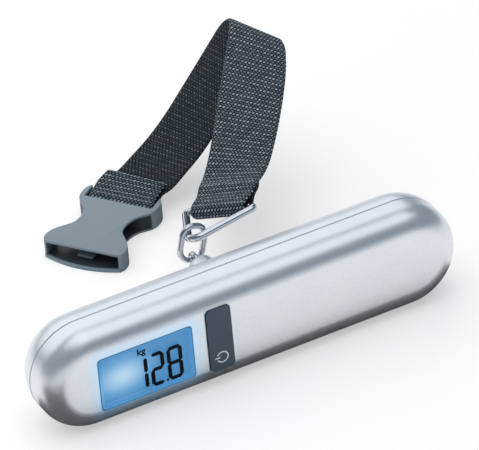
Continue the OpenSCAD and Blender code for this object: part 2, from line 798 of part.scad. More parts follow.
// Webbing: the ring's corners gather it to a share of its width. Each bar has its
// own ways along the strip (t), across it (w) and out of it (n)
gather = min(1, (ring_base - 7.7) / web_w);
web_r = web_gap + web_t / 2;
layer_off = web_t / 2 + 0.06;
ring_w = turned([1, 0, 0], RING_TURN);
strap_rise = [0.7, 0.61, 0.38];
ring_t = unit(strap_rise - (strap_rise * ring_w) * ring_w);
ring_n = cross(ring_t, ring_w);
plug_w = -turned([0, 1, 0], PLUG_TURN);
plug_t = turned([1, 0, 0], PLUG_TURN);
plug_n = cross(plug_t, plug_w);
socket_w = -turned([0, 1, 0], SOCKET_TURN);
socket_t = turned([1, 0, 0], SOCKET_TURN);
SOCKET_BAR_AT = SOCKET_AT + turned([socket_bar, 0, bar_z], SOCKET_TURN);
up = [0, 0, 1];

TAB_ENDS = [ride(PLUG_AT, -6 * plug_t, -layer_off * plug_n, plug_w),
    ride(RING_AT, 9 * ring_t, layer_off * ring_n, ring_w)];

PATH = concat(
    [for (back = [-10, -6]) ride(PLUG_AT, back * plug_t, layer_off * plug_n, plug_w)],
    wrap(PLUG_AT, bar_d / 2 + web_r, plug_n, plug_t, plug_w),
    [for (k = [0:0.25:1]) between_two(TAB_ENDS[0], TAB_ENDS[1], k)],
    [ride(RING_AT, 5.4 * ring_t, layer_off * ring_n, ring_w * (1 + gather) / 2)],
    wrap(RING_AT, ring_wire / 2 + web_r, ring_n, -ring_t, ring_w * gather),
    [ride(RING_AT, 5.4 * ring_t, -layer_off * ring_n, ring_w * (1 + gather) / 2),
        ride(RING_AT, 9 * ring_t, -layer_off * ring_n, ring_w)],
    [for (s = LOOP) [[s.x, s.y, s.z], heading(s[3], s[4])]],
    wrap(SOCKET_BAR_AT, bar_d / 2 + web_r, up, -socket_t, socket_w, 210),
    [for (i = [1:4]) let (s = LOOP[len(LOOP) - i]) [[s.x, s.y, s.z - 1.6], heading(s[3], s[4])]]);

// A flat strip swept along a path of middle points with their widths
module strip(path, width, thick) {
    middles = [for (s = path) s[0]];
    skin([for (i = [0:len(path) - 1]) let (w = path[i][1], out = unit(cross(along(middles, i), w)))
        [for (c = [[-1, -1], [1, -1], [1, 1], [-1, 1]])
            middles[i] + c.x * w * width / 2 + c.y * out * thick / 2]]);
}

module strap() { color("darkslategray") strip(PATH, web_w, web_t); }

// A row of thread across the strap at one of the LOOP's places, on one face
module stitches(i, side) {
    s = LOOP[i];
    w = heading(s[3], s[4]);
    out = unit(cross(along([for (p = LOOP) [p.x, p.y, p.z]], i), w)) * side;
    for (k = [-4:4]) translate([s.x, s.y, s.z] + out * (web_t / 2 + 0.22) + w * (2.6 * k - 0.8))
        rotate([0, 90 - s[4], s[3]]) cylinder(d = 0.4, h = 1.6);
}
module strap_stitching() {
    color("gray") {
        stitches(1, -1);
        stitches(len(LOOP) - 4, 1);
    }
}

// The socket half: an open mouth at the left, a waist whose sides are open, and
// the webbing's bar at the right
module socket_outline() {
    difference() {
        translate([socket_l / 2, 0]) rounded(socket_l, buckle_w, 3);
        for (side = [-1, 1]) translate([waist_x, side * (waist + waist_r)]) circle(waist_r);
    }
}
module socket_lip() {
    intersection() {
        translate([lip_r - lip, 0]) circle(lip_r);
        translate([-lip - cut, -lip_half]) square([lip + cut + 3, 2 * lip_half]);
    }
}
module buckle_socket() {
    color(plastic) translate(SOCKET_AT) rotate(SOCKET_TURN) {
        difference() {
            union() {
                linear_extrude(buckle_t) socket_outline();
                linear_extrude(socket_floor) socket_lip();
            }
            box([-lip - cut, -mouth_w / 2, socket_floor], [mouth_l, mouth_w / 2, socket_floor + mouth_h]);
            box([socket_bar - 3.1, -slot_w / 2, -cut], [socket_l + cut, slot_w / 2, buckle_t + cut]);
        }
        box([2, -rib_half, socket_floor - 0.2], [mouth_l, rib_half, socket_floor + rib_h]);
        translate([socket_bar, 0, bar_z]) rotate([90, 0, 0])
            cylinder(d = bar_d, h = slot_bar, center = true);
    }
}

// The plug half: a block with the webbing's bar, a tongue, and two arms
module place_plug() { translate(PLUG_AT) rotate(PLUG_TURN) children(); }
module buckle_plug() {
    color(plastic) place_plug() difference() {
        union() {
            translate([plug_l / 2 - 2, 0, 0]) linear_extrude(buckle_t - 0.6, center = true)
                rounded(plug_l, buckle_w - 0.6, 2.5);
            box([plug_l - 3, -tongue_half, 0.1], [30, tongue_half, 1.9]);
        }
        box([-3, -slot_w / 2, -buckle_t], [3.1, slot_w / 2, buckle_t]);
        for (side = [-1, 1]) {
            translate([arm_root, side * arm_out, -recess_half])
                cylinder(d = arm_root_d + 0.1, h = 2 * recess_half);
            box([arm_root, side * arm_out - 2.2, -recess_half], [13, side * arm_out + 2.2, recess_half]);
        }
    }
    color(plastic) place_plug() rotate([90, 0, 0]) cylinder(d = bar_d, h = slot_bar, center = true);
}

// One springy arm with its latch, drawn for the side at +Y
module arm() {
    translate([arm_root, arm_out, -arm_h / 2]) {
        cylinder(d = arm_root_d, h = arm_h);
        translate([0, -arm_w / 2, 0]) cube([arm_l, arm_w, arm_h]);
        translate([arm_l, 0, 0]) cylinder(d = arm_w, h = arm_h);
        linear_extrude(arm_h) polygon([[8, 1], [9, 3.6], [13, 3.4], [19, 1]]);
    }
}
module latch_arm_left() { color(plastic) place_plug() arm(); }
module latch_arm_right() { color(plastic) place_plug() mirror([0, 1, 0]) arm(); }

front_shell();
back_shell();
battery_door();
display_window();
lcd_frame();
lcd_panel();
lcd_numerals();
light_guide();
lcd_connector();
circuit_board();
board_chips();
board_screws();
switch_bodies();
plunger_upper();
plunger_lower();
rocker_button();
button_mark();
load_cell();
strain_gauges();
load_cell_screws();
gauge_wires();
eye_nut();
eye_washer();
hook_collar();
eye();
battery_tray();
battery_upper();
battery_lower();
battery_contacts();
battery_wires();
case_screws();
chain_link();
delta_ring();
strap();
strap_stitching();
buckle_socket();
buckle_plug();
latch_arm_left();
latch_arm_right();
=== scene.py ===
# %% [markdown]
# # A digital luggage scale with its webbing strap
# The scale is a satin silver bar with a lit display and a rocker button. A
# short collar on its back carries an eye, a link and a three-sided ring. The
# ring holds a strap of dark webbing that ends in half of a side-release buckle.
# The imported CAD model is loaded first, and nothing in this file moves it.

# %% Load the frame
import math

import bmesh
import bpy
from mathutils import Euler, Matrix, Vector
from mathutils.bvhtree import BVHTree


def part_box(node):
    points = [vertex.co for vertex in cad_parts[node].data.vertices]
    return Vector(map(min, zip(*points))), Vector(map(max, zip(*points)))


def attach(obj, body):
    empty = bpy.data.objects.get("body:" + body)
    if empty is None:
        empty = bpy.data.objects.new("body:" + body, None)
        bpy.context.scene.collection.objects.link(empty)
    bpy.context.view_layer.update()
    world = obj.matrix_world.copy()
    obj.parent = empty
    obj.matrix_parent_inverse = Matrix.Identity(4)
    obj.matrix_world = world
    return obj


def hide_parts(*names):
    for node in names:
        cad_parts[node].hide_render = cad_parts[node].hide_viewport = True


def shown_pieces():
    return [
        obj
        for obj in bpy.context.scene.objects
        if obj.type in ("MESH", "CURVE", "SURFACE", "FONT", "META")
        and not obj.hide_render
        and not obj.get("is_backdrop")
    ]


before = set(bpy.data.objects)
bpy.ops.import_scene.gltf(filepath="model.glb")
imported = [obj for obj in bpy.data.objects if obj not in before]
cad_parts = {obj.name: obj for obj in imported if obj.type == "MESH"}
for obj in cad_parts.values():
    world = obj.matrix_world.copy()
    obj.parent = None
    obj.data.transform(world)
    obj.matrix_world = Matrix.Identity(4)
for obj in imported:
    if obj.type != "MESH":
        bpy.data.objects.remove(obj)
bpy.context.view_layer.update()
MM = 0.001

# %% [markdown]
# ## The photograph's frame and the camera
# A few points of the photograph tie the view to the object. The lens is very
# long, because the photograph shows almost no perspective. The camera stands
# far off to the left of the display, above it, and rolls a little.

# %% Image points and camera
IMAGE_W = 479
IMAGE_H = 450
POINTS = {
    "left edge": (25, None),
    "right edge": (455, None),
    "top edge": (None, 20),
    "bottom edge": (None, 427),
    "window top left": (97, 361),
    "window top right": (191, 324.5),
    "window bottom right": (196.5, 377),
    "window bottom left": (102.5, 411.5),
    "button top": (217.5, 308),
    "button bottom": (223, 369),
    "unit mark": (141, 352),
    "ring corner": (256, 206),
    "collar top": (None, 254),
    "buckle mouth left": (45, 238),
    "buckle mouth right": (122, 256),
    "strap right edge": (286, None),
    "stitch row": (231, 183),
}
CAMERA_AT = (-0.8778, -1.8764, 1.4995)
CAMERA_TURN = (54.97, 4.53, -28.29)
CAMERA_LENS = 563.7

bpy.ops.object.select_all(action="DESELECT")
bpy.ops.object.camera_add(location=CAMERA_AT, rotation=[math.radians(a) for a in CAMERA_TURN])
camera = bpy.context.object
camera.data.sensor_fit = "AUTO"
camera.data.lens = CAMERA_LENS
camera.data.clip_end = 20
scene = bpy.context.scene
scene.camera = camera
scene.view_settings.view_transform = "Standard"
bpy.context.view_layer.update()
LONG_SIDE = max(IMAGE_W, IMAGE_H)


def ray_through(x, y):
    """The camera's place, and the way through a point of the photograph."""
    data = camera.data
    way = Vector((x - IMAGE_W / 2 + data.shift_x * LONG_SIDE,
                  IMAGE_H / 2 - y + data.shift_y * LONG_SIDE,
                  -LONG_SIDE * data.lens / data.sensor_width))
    return camera.matrix_world.translation, (camera.matrix_world.to_3x3() @ way).normalized()


def image_of(place):
    """Where a place in the scene shows in the photograph's frame."""
    p = camera.matrix_world.inverted() @ Vector(place)
    k = LONG_SIDE * camera.data.lens / camera.data.sensor_width / -p.z
    return IMAGE_W / 2 + p.x * k, IMAGE_H / 2 - p.y * k


print("the origin shows at", [round(v, 1) for v in image_of((0, 0, 0))])

# %% [markdown]
# ## Helpers for pieces
# Each new piece starts as a primitive, is shaped in edit mode or by modifiers,
# and ends with its place in its mesh. The CAD nodes stay selected after
# loading, so every helper deselects first.

# %% Helpers for pieces


def pick(piece):
    """Selects one piece alone."""
    bpy.ops.object.select_all(action="DESELECT")
    piece.select_set(True)
    bpy.context.view_layer.objects.active = piece


def settle(piece):
    """Puts a piece's place, turn and size into its mesh."""
    pick(piece)
    bpy.ops.object.transform_apply(location=True, rotation=True, scale=True)


def add_modifier(piece, kind, **settings):
    """Adds one modifier and applies it."""
    pick(piece)
    modifier = piece.modifiers.new(kind.title(), kind)
    for name, value in settings.items():
        setattr(modifier, name, value)
    bpy.ops.object.modifier_apply(modifier=modifier.name)


def block(name, low, high):
    """A box between two corners."""
    bpy.ops.mesh.primitive_cube_add(size=1)
    piece = bpy.context.object
    piece.name = name
    low, high = Vector(low), Vector(high)
    piece.location = (low + high) / 2
    piece.scale = high - low
    settle(piece)
    return piece


def disc(name, centre, radius, depth, turn=(0, 0, 0), sides=64):
    """A cylinder about a centre."""
    bpy.ops.mesh.primitive_cylinder_add(vertices=sides, radius=radius, depth=depth,
                                        location=centre, rotation=turn)
    piece = bpy.context.object
    piece.name = name
    settle(piece)
    return piece


def combine(piece, other, operation):
    """Cuts another piece from this one, adds it, or keeps what they share."""
    add_modifier(piece, "BOOLEAN", object=other, operation=operation, solver="EXACT")
    bpy.data.objects.remove(other)


def soften(piece, width, segments=3, sharp=35):
    """Rounds every edge that is sharper than an angle, and smooths the shading."""
    add_modifier(piece, "BEVEL", width=width, segments=segments, limit_method="ANGLE",
                 angle_limit=math.radians(sharp), use_clamp_overlap=True, harden_normals=False)
    pick(piece)
    bpy.ops.object.shade_smooth_by_angle(angle=math.radians(32))


def put(piece, matrix):
    """Moves a finished piece to its place, and keeps the place in its mesh."""
    piece.data.transform(matrix)
    piece.data.update()


# %% [markdown]
# ## Helpers for finishes
# A finish is a set of shader nodes. The first small class wraps a socket, so
# that sums on it are written as Python sums and add their own Math nodes. The
# other two hold a node tree and a material, and have one call for any node.

# %% Helpers for finishes


class Level:
    """A number that changes over a surface, held by a node's socket."""

    def __init__(self, finish, socket):
        self.finish = finish
        self.socket = socket

    def __add__(self, other):
        return self.finish.maths("ADD", self, other)

    __radd__ = __add__

    def __mul__(self, other):
        return self.finish.maths("MULTIPLY", self, other)

    __rmul__ = __mul__

    def __sub__(self, other):
        return self.finish.maths("SUBTRACT", self, other)

    def __rsub__(self, other):
        return self.finish.maths("SUBTRACT", other, self)

    def __truediv__(self, other):
        return self.finish.maths("DIVIDE", self, other)


class Nodes:
    """A cleared node tree, and short calls that add nodes to it."""

    def __init__(self, owner, output):
        owner.use_nodes = True
        self.tree = owner.node_tree
        self.tree.nodes.clear()
        self.output = self.tree.nodes.new(output)

    def fill(self, socket, value):
        """Links a level or a socket to an input, or writes a plain value there."""
        if isinstance(value, Level):
            value = value.socket
        if isinstance(value, bpy.types.NodeSocket):
            self.tree.links.new(value, socket)
        else:
            socket.default_value = value

    def node(self, kind, settings=None, inputs=None):
        """Any node: its settings first, then its sockets' values or links."""
        node = self.tree.nodes.new(kind)
        for name, value in (settings or {}).items():
            if name == "stops":
                ramp = node.color_ramp
                while len(ramp.elements) < len(value):
                    ramp.elements.new(0.5)
                for element, (place, colour) in zip(ramp.elements, value):
                    element.position = place
                    element.color = colour if len(colour) == 4 else (*colour, 1)
            else:
                setattr(node, name, value)
        for name, value in (inputs or {}).items():
            self.fill(node.inputs[name], value)
        return node

    def maths(self, operation, a, b=0.0):
        node = self.node("ShaderNodeMath", {"operation": operation}, {0: a, 1: b})
        return Level(self, node.outputs[0])

    def step(self, value, low, high):
        """0 below low, 1 above high, and smooth between."""
        node = self.node("ShaderNodeMapRange", {"interpolation_type": "SMOOTHSTEP"},
                         {"Value": value, "From Min": low, "From Max": high})
        return Level(self, node.outputs["Result"])

    def mix(self, mask, a, b):
        """Colour a where the mask is 0, and b where it is 1."""
        node = self.node("ShaderNodeMix", {"data_type": "RGBA"})
        colour = [c if not isinstance(c, tuple) else (*c[:3], 1) for c in (a, b)]
        self.fill(node.inputs[0], mask)
        self.fill(node.inputs[6], colour[0])
        self.fill(node.inputs[7], colour[1])
        return node.outputs[2]

    def seen_by(self, *rays):
        """1 for these kinds of ray, and 0 for the rest."""
        path = self.node("ShaderNodeLightPath")
        seen = path.outputs[rays[0]]
        for name in rays[1:]:
            seen = self.maths("MAXIMUM", seen, path.outputs[name])
        return seen


class Finish(Nodes):
    """A material with one Principled shader."""

    def __init__(self, name, **values):
        self.material = bpy.data.materials.new(name)
        super().__init__(self.material, "ShaderNodeOutputMaterial")
        self.shader = self.node("ShaderNodeBsdfPrincipled")
        self.fill(self.output.inputs["Surface"], self.shader.outputs[0])
        for name, value in values.items():
            self.set(name.replace("_", " ").title().replace("Ior", "IOR"), value)

    def set(self, name, value):
        self.fill(self.shader.inputs[name], value)

    def place(self):
        """The place on the object, as three levels in metres."""
        coordinates = self.node("ShaderNodeTexCoord")
        split = self.node("ShaderNodeSeparateXYZ", {}, {0: coordinates.outputs["Object"]})
        return [Level(self, split.outputs[i]) for i in range(3)]

    def noise(self, scale, detail=2.0, roughness=0.5):
        coordinates = self.node("ShaderNodeTexCoord")
        node = self.node("ShaderNodeTexNoise", {}, {
            "Vector": coordinates.outputs["Object"], "Scale": scale, "Detail": detail,
            "Roughness": roughness})
        return Level(self, node.outputs["Fac"])

    def bump(self, height, strength, distance, under=None):
        """A relief of that many metres on the shader's normal, over another normal if one is named."""
        inputs = {"Height": height, "Strength": strength, "Distance": distance}
        if under is not None:
            inputs["Normal"] = under
        node = self.node("ShaderNodeBump", {}, inputs)
        self.set("Normal", node.outputs[0])

    def eased_edges(self, radius):
        """A normal that rounds hard edges by that many metres."""
        return self.node("ShaderNodeBevel", {"samples": 6}, {"Radius": radius}).outputs[0]


def wear(finish, *names):
    """Gives CAD nodes this finish."""
    for name in names:
        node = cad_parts[name]
        if not node.material_slots:
            node.data.materials.append(finish.material)
        for slot in node.material_slots:
            slot.material = finish.material


def clothe(piece, finish):
    """Gives a new piece this finish."""
    piece.data.materials.clear()
    piece.data.materials.append(finish.material)


# %% [markdown]
# ## Satin silver
# The shells and the collar are plastic with a metallic lacquer. It mirrors
# broad light softly and has a very fine grain. Round the window the shell
# has a painted blue glow, in its colour and as emission, that stands for the
# display's own light and dies away over a few millimetres. The painted glow is
# worked out from the distance to the window's edge.

# %% Satin silver
WINDOW_LOW, WINDOW_HIGH = (Vector(corner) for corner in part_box("display_window"))
WINDOW_CORNER = 1.5 * MM
FRONT_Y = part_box("front_shell")[0][1]
PAINTED_GLOW_REACH = 5.5 * MM


def distance_outside(finish, x, z, low, high, corner):
    """Metres from a rectangle with round corners, 0 inside it."""
    middle_x, middle_z = (low.x + high.x) / 2, (low.z + high.z) / 2
    half_x, half_z = (high.x - low.x) / 2 - corner, (high.z - low.z) / 2 - corner
    across = finish.maths("MAXIMUM", finish.maths("ABSOLUTE", x - middle_x) - half_x, 0.0)
    up = finish.maths("MAXIMUM", finish.maths("ABSOLUTE", z - middle_z) - half_z, 0.0)
    return finish.maths("SQRT", across * across + up * up) - corner


def silver_lacquer(name, with_painted_glow):
    finish = Finish(name, metallic=0.82, roughness=0.36, ior=1.5, coat_weight=0.12,
                    coat_roughness=0.28)
    grain = finish.noise(1900, 1)
    cloud = finish.noise(60, 2)
    tone = finish.mix(grain * 0.7 + cloud * 0.3, (0.73, 0.755, 0.79), (0.96, 0.97, 0.98))
    finish.set("Roughness", 0.33 + grain * 0.08)
    # Painted glow: near the window the shell's colour turns blue and it gives off blue light, as if lit
    # by the display.
    if with_painted_glow:
        x, y, z = finish.place()
        away = distance_outside(finish, x, z, WINDOW_LOW, WINDOW_HIGH, WINDOW_CORNER)
        on_front = finish.step(0.0 - y, -FRONT_Y - 3.5 * MM, -FRONT_Y - 0.6 * MM)
        painted_glow = (1 - finish.step(away, -0.5 * MM, PAINTED_GLOW_REACH)) * on_front
        tone = finish.mix(painted_glow * 0.6, tone, (0.50, 0.74, 0.93))
        finish.set("Emission Color", finish.mix(painted_glow, (0, 0, 0), (0.25, 0.50, 0.80)))
        finish.set("Emission Strength", 0.16)
    finish.set("Base Color", tone)
    finish.bump(grain, 0.16, 0.02 * MM, finish.eased_edges(0.25 * MM))
    return finish


SHELL_SILVER = silver_lacquer("silver_lacquer_painted_glow", True)
PLAIN_SILVER = silver_lacquer("silver_lacquer", False)
wear(SHELL_SILVER, "front_shell")
wear(PLAIN_SILVER, "back_shell", "battery_door", "hook_collar")

# %% [markdown]
# ## Bright steel
# The eye, the link and the ring are polished and plated. They are almost
# mirrors, with faint polishing marks, and show dark lines where they mirror the
# dark cards by the floor. The screws, the nut and the contacts are plain steel.

# %% Bright steel
CHROME = Finish("bright_plating", base_color=(0.66, 0.68, 0.71, 1), metallic=1.0, roughness=0.05)
CHROME.set("Roughness", 0.03 + CHROME.noise(900, 2) * 0.05)
CHROME.bump(CHROME.noise(420, 2), 0.05, 0.05 * MM)
wear(CHROME, "eye", "chain_link", "delta_ring")

STEEL = Finish("plain_steel", base_color=(0.56, 0.57, 0.58, 1), metallic=1.0, roughness=0.32)
STEEL.set("Roughness", 0.24 + STEEL.noise(700, 3) * 0.2)
wear(STEEL, "board_screws", "load_cell_screws", "case_screws", "eye_nut", "eye_washer",
     "battery_contacts")

# %% [markdown]
# ## The display
# Behind a clear window lies the display cell, lit from the left by a light
# guide, so it is palest left of the middle and a deeper blue at its edges. The
# numerals are dark shutters in the cell. The window is a thin clear block with
# a faint blue tint, so the cell shows through it. Over the ledge round the cell
# the window is nearly opaque and has a painted glow in the cell's colours, and
# a thin band of painted shade runs round its rim.

# %% The display
WINDOW_MIDDLE = (WINDOW_LOW + WINDOW_HIGH) / 2
SPOT_X, SPOT_Z = WINDOW_MIDDLE.x - 8 * MM, WINDOW_MIDDLE.z - 1 * MM
LEDGE = 1.25 * MM
CELL_CORNER = 0.8 * MM


def cell_light(finish, x, z):
    """The light guide's glow: pale about a spot, and a deeper blue away from it."""
    across, up = (x - SPOT_X) / (13 * MM), (z - SPOT_Z) / (8.5 * MM)
    away = finish.maths("SQRT", across * across + up * up)
    ramp = finish.node("ShaderNodeValToRGB", {"stops": [
        (0.0, (0.56, 0.75, 0.90)), (0.3, (0.36, 0.59, 0.82)), (0.65, (0.13, 0.37, 0.66)),
        (1.0, (0.07, 0.26, 0.52))]}, {"Fac": away * 0.85})
    return ramp.outputs["Color"]


CLEAR = Finish("clear_window_painted_ledge", base_color=(0.02, 0.07, 0.12, 1), roughness=0.06, ior=1.3)
clear_x, _, clear_z = CLEAR.place()
INSET = Vector((LEDGE, 0, LEDGE))
beyond = distance_outside(CLEAR, clear_x, clear_z, WINDOW_LOW + INSET, WINDOW_HIGH - INSET, CELL_CORNER)
# Over the ledge the window is nearly opaque with a painted glow, and near its rim a band of painted
# shade.
painted_ledge_glow = CLEAR.step(beyond, -0.1 * MM, 0.05 * MM)
painted_rim_shade = CLEAR.step(beyond, 0.85 * MM, 1.05 * MM)
CLEAR.set("Alpha", 0.03 + painted_ledge_glow * 0.92)
CLEAR.set("Emission Color", CLEAR.mix(painted_ledge_glow, (0, 0, 0), CLEAR.mix(
    painted_rim_shade, cell_light(CLEAR, clear_x, clear_z), (0.02, 0.09, 0.18))))
CLEAR.set("Emission Strength", 0.95)
CLEAR.set("Roughness", 0.05 + CLEAR.noise(300, 2) * 0.04)
wear(CLEAR, "display_window")

CELL = Finish("lit_cell", base_color=(0.01, 0.03, 0.05, 1), roughness=0.4)
cell_x, _, cell_z = CELL.place()
CELL.set("Emission Color", cell_light(CELL, cell_x, cell_z))
CELL.set("Emission Strength", 0.95)
wear(CELL, "lcd_panel")

INK = Finish("dark_shutter", base_color=(0.002, 0.003, 0.006, 1), roughness=0.6, ior=1.2)
INK.bump(INK.noise(2000, 1), 0.05, 0.01 * MM)

GUIDE = Finish("milky_guide", base_color=(0.82, 0.88, 0.93, 1), roughness=0.35)
GUIDE.bump(GUIDE.noise(900, 2), 0.1, 0.02 * MM)
wear(GUIDE, "light_guide", "lcd_frame")

# %% [markdown]
# ## Small inner finishes
# The inside is hidden when the case is shut, but each piece still has the
# finish of its own material: green board with copper lines under the lacquer,
# black chips, rubber strips, coloured wire and wrapped cells.

# %% Small inner finishes


def moulded(name, colour, roughness=0.45, mottle=0.2, scale=1400, relief=0.02 * MM):
    """Plain moulded plastic or rubber with a fine grain."""
    finish = Finish(name, roughness=roughness)
    grain = finish.noise(scale, 2)
    darker = tuple(c * (1 - mottle) for c in colour)
    finish.set("Base Color", finish.mix(grain, darker, colour))
    finish.set("Roughness", roughness - 0.05 + grain * 0.1)
    finish.bump(grain, 0.25, relief, finish.eased_edges(0.2 * MM))
    return finish


BOARD = Finish("circuit_board_green", roughness=0.35, coat_weight=0.3)
board_x, _, board_z = BOARD.place()
tracks_x = BOARD.maths("PINGPONG", board_x, 1.3 * MM)
tracks_z = BOARD.maths("PINGPONG", board_z, 1.1 * MM)
patches = BOARD.step(BOARD.noise(240, 0), 0.48, 0.52)
track = BOARD.step(BOARD.maths("MINIMUM", tracks_x, tracks_z), 0.12 * MM, 0.22 * MM)
BOARD.set("Base Color", BOARD.mix(track * patches, (0.03, 0.26, 0.10), (0.012, 0.13, 0.05)))
wear(BOARD, "circuit_board")
wear(moulded("black_moulding", (0.02, 0.02, 0.022)), "board_chips", "switch_bodies", "battery_tray")
wear(moulded("grey_rubber", (0.12, 0.12, 0.125), 0.7), "lcd_connector")
wear(moulded("tan_moulding", (0.48, 0.36, 0.22)), "plunger_upper", "plunger_lower")
wear(moulded("gauge_film", (0.55, 0.33, 0.08), 0.35), "strain_gauges")
wear(moulded("wire_cover", (0.45, 0.03, 0.03), 0.4), "gauge_wires", "battery_wires")
BEAM = Finish("milled_aluminium", base_color=(0.77, 0.78, 0.79, 1), metallic=1.0, roughness=0.3)
BEAM.bump(BEAM.noise(1500, 2), 0.12, 0.02 * MM)
wear(BEAM, "load_cell")
CELL_WRAP = Finish("battery_wrap", roughness=0.25, metallic=0.3)
COPPER_END = 41 * MM
in_black = CELL_WRAP.step(CELL_WRAP.place()[0], COPPER_END, COPPER_END + 0.5 * MM)
CELL_WRAP.set("Base Color", CELL_WRAP.mix(in_black, (0.60, 0.28, 0.08), (0.03, 0.03, 0.035)))
wear(CELL_WRAP, "battery_upper", "battery_lower")

# %% [markdown]
# ## The rocker button
# The button is a slate plastic strip with softly rounded edges. The CAD node
# already has its rim, pivots and nubs, so it stays and only gets a finish: a
# moulded grain that a small bump gives, and edges that the shading rounds.

# %% The rocker button
wear(moulded("slate_button", (0.048, 0.082, 0.115), 0.42, 0.12, 2600, 0.012 * MM), "rocker_button")
wear(moulded("white_mark", (0.86, 0.88, 0.9), 0.5, 0.04), "button_mark")

# %% [markdown]
# ## Webbing
# The strap is one strip of webbing. It goes from the buckle's plug round the
# ring, over in a high loop and down to the socket, where it turns round the bar
# and its end is sewn on top, as in the photograph. The places of the loop are
# the same as the CAD solid's, repeated here, and only the last few lie lower.
# A smooth curve through those places is cut into short steps, and at each step
# the strip's rounded section is laid across.

# %% The strap's places
RING_AT = Vector((17.6, 46.6, 26.9)) * MM
RING_TURN = (-3, -19, -55.5)
PLUG_AT = Vector((35.6, 69, 24)) * MM
PLUG_TURN = (-49, -2.5, 54.5)
SOCKET_AT = Vector((-22, 79.5, 0)) * MM
SOCKET_TURN = (0, 0, 36.5)
SOCKET_BAR = 32.85 * MM
BAR_HEIGHT = 3.6 * MM
WEB_W = 24.7 * MM
WEB_T = 1.3 * MM
WEB_GAP = 0.3 * MM
RING_WIRE = 2.7 * MM
BAR_D = 2.5 * MM
RING_BASE = 30.5 * MM
RING_CORNERS = 7.7 * MM
LAYER_GAP = 0.06 * MM
PLUG_SEAM, PLUG_END = 6, 10
RING_SEAM, GATHER_AT = 9, 5.4
FOLD_RISE, FOLD_ROOM = 0.45, 0.2
LOOP = [
    (27.4, 55.6, 31.4, -54, 16), (32, 59.6, 34, -56, 10), (38, 66, 38.4, -56, 5),
    (44, 73, 43, -56, 1), (49, 79, 46.8, -57, 0), (54, 85.4, 50.8, -59, 0),
    (57.6, 90.4, 53.8, -63, 0), (60, 94.6, 55.8, -66, 0), (61.2, 98.2, 55.8, -70, 1),
    (61.2, 101.4, 54, -73, 2), (60, 104.4, 50.8, -75, 3), (56.4, 107.2, 44, -78, 4),
    (50.6, 108.4, 35.8, -79, 4), (43.6, 108.2, 27.6, -77, 4), (37, 107, 21, -73, 4),
    (30, 105.6, 16, -70, 4), (21.6, 103.8, 12, -66, 4), (14.6, 102, 9.4, -62, 3),
    (9, 101.9, 7.4, -55, 1)]
TAB = [(6.4, 100.5, 7.3, -54, 1), (9, 101.9, 8.4, -56, 1), (11.4, 102.3, 9.7, -58, 2),
       (12.6, 102.5, 10.1, -59, 2)]
END_DROPS = (0.4, 0.9, 1.2, 1.2)
UP = Vector((0, 0, 1))


def turned(vector, degrees):
    return Euler([math.radians(a) for a in degrees]).to_matrix() @ Vector(vector)


def heading(turn, rise):
    """The way of a width that heads one way and rises."""
    a, b = math.radians(turn), math.radians(rise)
    return Vector((math.cos(b) * math.cos(a), math.cos(b) * math.sin(a), math.sin(b)))


def wrapped(centre, radius, start, by_way_of, width, turn=180):
    """Places round a bar, from one side by way of another."""
    angles = [math.radians(a) for a in range(0, turn + 1, 15)]
    return [(centre + (start * math.cos(a) + by_way_of * math.sin(a)) * radius, width) for a in angles]


def strap_places():
    """The strip's middle places, each with its width as a vector of length 1 or less."""
    layer = WEB_T / 2 + LAYER_GAP
    ring_w = turned((1, 0, 0), RING_TURN)
    rough_t = Vector((0.7, 0.61, 0.38))
    ring_t = (rough_t - ring_w * rough_t.dot(ring_w)).normalized()
    ring_n = ring_t.cross(ring_w)
    plug_w, plug_t = -turned((0, 1, 0), PLUG_TURN), turned((1, 0, 0), PLUG_TURN)
    plug_n = plug_t.cross(plug_w)
    socket_w, socket_t = -turned((0, 1, 0), SOCKET_TURN), turned((1, 0, 0), SOCKET_TURN)
    bar_at = SOCKET_AT + turned((SOCKET_BAR, 0, BAR_HEIGHT), SOCKET_TURN)
    gather = (RING_BASE - RING_CORNERS) / WEB_W
    round_bar = BAR_D / 2 + WEB_GAP + WEB_T / 2
    round_ring = RING_WIRE / 2 + WEB_GAP + WEB_T / 2
    tab_start = (PLUG_AT - plug_t * PLUG_SEAM * MM - plug_n * layer, plug_w)
    tab_end = (RING_AT + ring_t * RING_SEAM * MM + ring_n * layer, ring_w)
    places = [(PLUG_AT - plug_t * PLUG_END * MM + plug_n * layer, plug_w),
              (PLUG_AT - plug_t * PLUG_SEAM * MM + plug_n * layer, plug_w)]
    places += wrapped(PLUG_AT, round_bar, plug_n, plug_t, plug_w)
    for share in (0, 0.25, 0.5, 0.75, 1):
        places.append((tab_start[0].lerp(tab_end[0], share),
                       tab_start[1].lerp(tab_end[1], share).normalized()))
    places.append((RING_AT + ring_t * GATHER_AT * MM + ring_n * layer, ring_w * (1 + gather) / 2))
    places += wrapped(RING_AT, round_ring, ring_n, -ring_t, ring_w * gather)
    places.append((RING_AT + ring_t * GATHER_AT * MM - ring_n * layer, ring_w * (1 + gather) / 2))
    places.append((RING_AT + ring_t * RING_SEAM * MM - ring_n * layer, ring_w))
    drops = (0,) * (len(LOOP) - len(END_DROPS)) + END_DROPS
    for (x, y, z, turn, rise), drop in zip(LOOP, drops):
        places.append((Vector((x, y, z - drop)) * MM, heading(turn, rise)))
    fold = wrapped(bar_at + UP * FOLD_RISE * MM, round_bar + FOLD_ROOM * MM, UP, -socket_t,
                   socket_w, 210)
    places += fold[::-1]
    for x, y, z, turn, rise in TAB:
        places.append((Vector((x, y, z)) * MM, heading(turn, rise)))
    return places


CUTS = 8


